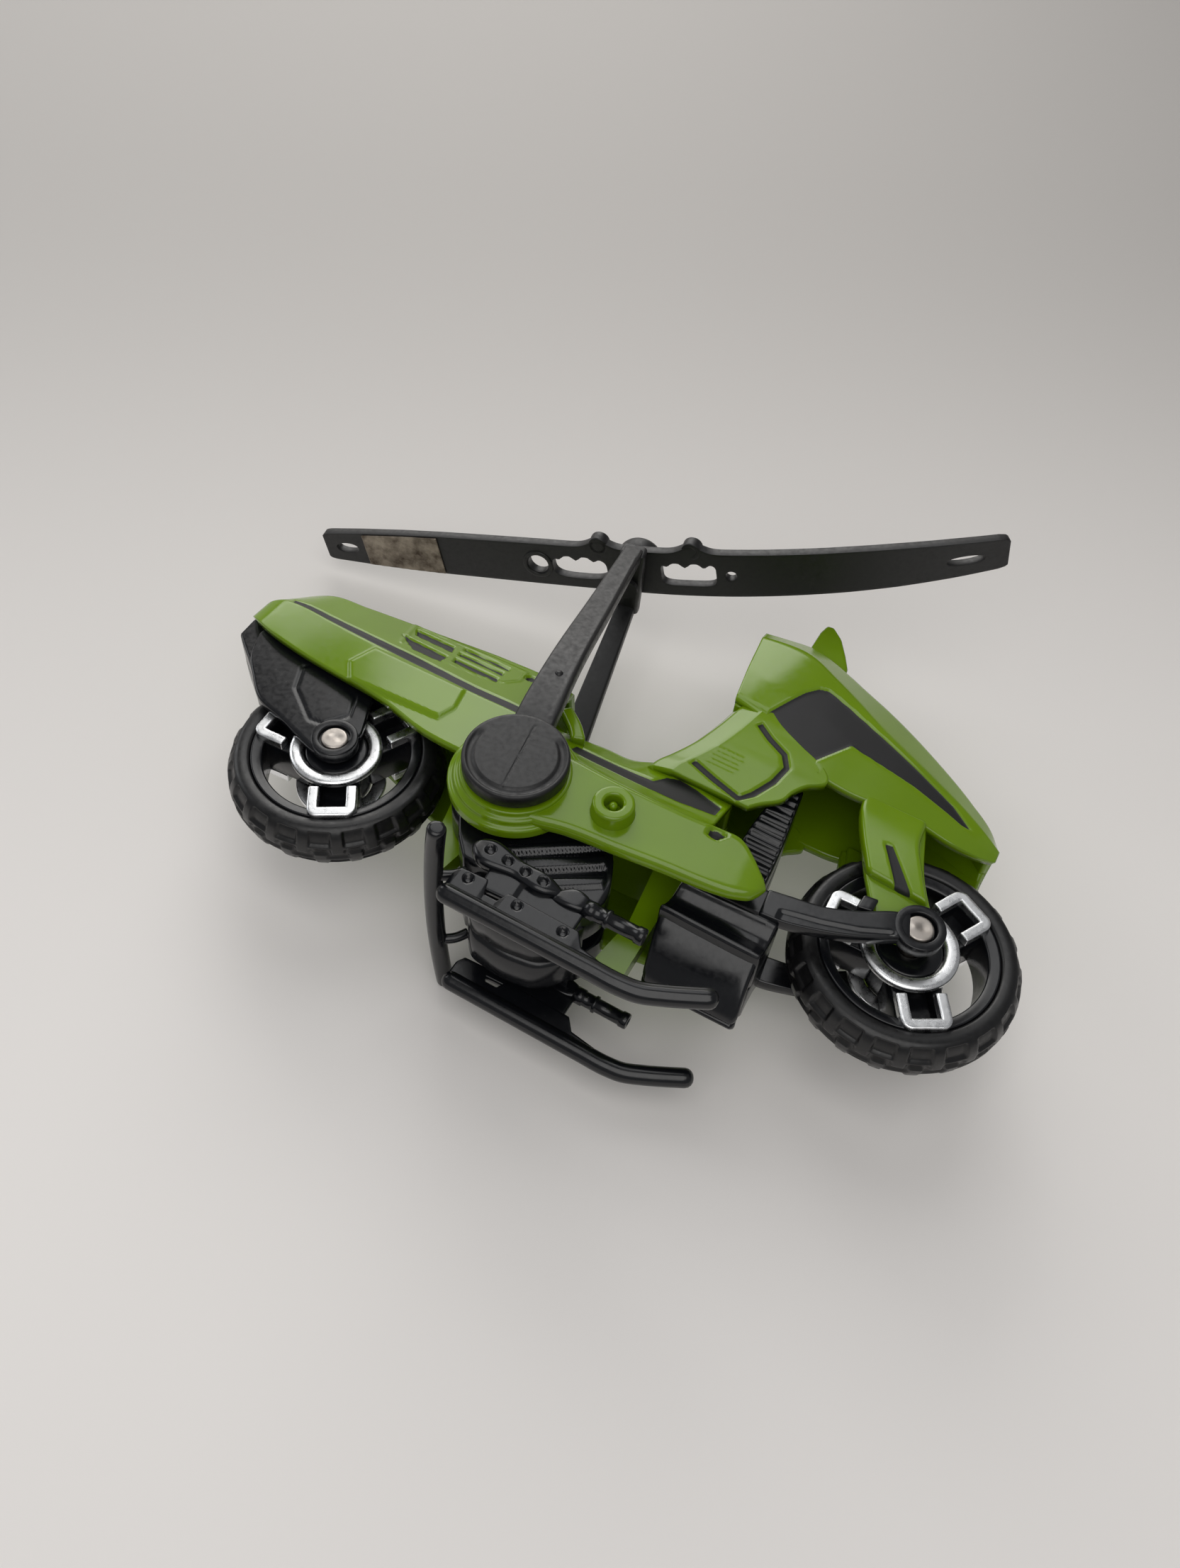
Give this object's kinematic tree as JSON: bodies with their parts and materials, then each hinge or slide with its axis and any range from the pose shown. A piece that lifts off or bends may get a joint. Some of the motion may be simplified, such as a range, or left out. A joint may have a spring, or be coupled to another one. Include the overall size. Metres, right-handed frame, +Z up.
{
  "type": "toy helicopter",
  "caption": "Small plastic motorcycle that turns into a helicopter, with free wheels, skids and a spinning rotor on a folding mast.",
  "frame": {"origin": "under the middle of the whole object, on the surface that the skids stand on", "axes": "+X forward, +Y to the rider's left, +Z up"},
  "size_m": [0.1432, 0.0402, 0.106],
  "materials": {
    "green_plastic": "glossy moulded",
    "black_plastic": "glossy moulded",
    "matt_black_plastic": "satin moulded",
    "tyre_plastic": "satin moulded",
    "bright_plating": "vacuum plated",
    "rivet_steel": "turned",
    "worn_foil": "worn foil"
  },
  "bodies": {
    "toy": {"body_shell_right": "green_plastic", "body_shell_left": "green_plastic", "inner_frame": "green_plastic", "mast_axle": "rivet_steel", "pod_right": "black_plastic", "pod_left": "black_plastic", "skid_right": "black_plastic", "skid_left": "black_plastic", "rear_crossbar": "black_plastic", "engine_block_right": "black_plastic", "engine_block_left": "black_plastic", "rear_fork_right": "black_plastic", "rear_fork_left": "black_plastic", "front_axle": "rivet_steel", "rear_axle": "rivet_steel"},
    "mast": {"mast_fork": "matt_black_plastic", "rotor_pin": "matt_black_plastic"},
    "rotor": {"rotor": "matt_black_plastic", "blade_sticker": "worn_foil"},
    "front_wheel": {"front_tyre": "tyre_plastic", "front_rim": "tyre_plastic", "front_trim_right": "bright_plating", "front_trim_left": "bright_plating"},
    "rear_wheel": {"rear_tyre": "tyre_plastic", "rear_rim": "tyre_plastic", "rear_trim_right": "bright_plating", "rear_trim_left": "bright_plating"}
  },
  "joints": [
    {"name": "mast_fold", "type": "hinge", "parent": "toy", "child": "mast", "pos_m": [-0.0016, 0, 0.0219], "axis": [0, -1, 0], "range_deg": [0, 48]},
    {"name": "rotor_spin", "type": "hinge", "parent": "mast", "child": "rotor", "pos_m": [-0.01263, 0, 0.08027], "axis": [-0.2079, 0, 0.9781], "continuous": true},
    {"name": "front_wheel_spin", "type": "hinge", "parent": "toy", "child": "front_wheel", "pos_m": [0.0555, 0, 0.031], "axis": [0, 1, 0], "continuous": true},
    {"name": "rear_wheel_spin", "type": "hinge", "parent": "toy", "child": "rear_wheel", "pos_m": [-0.0297, 0, 0.0177], "axis": [0, 1, 0], "continuous": true}
  ]
}
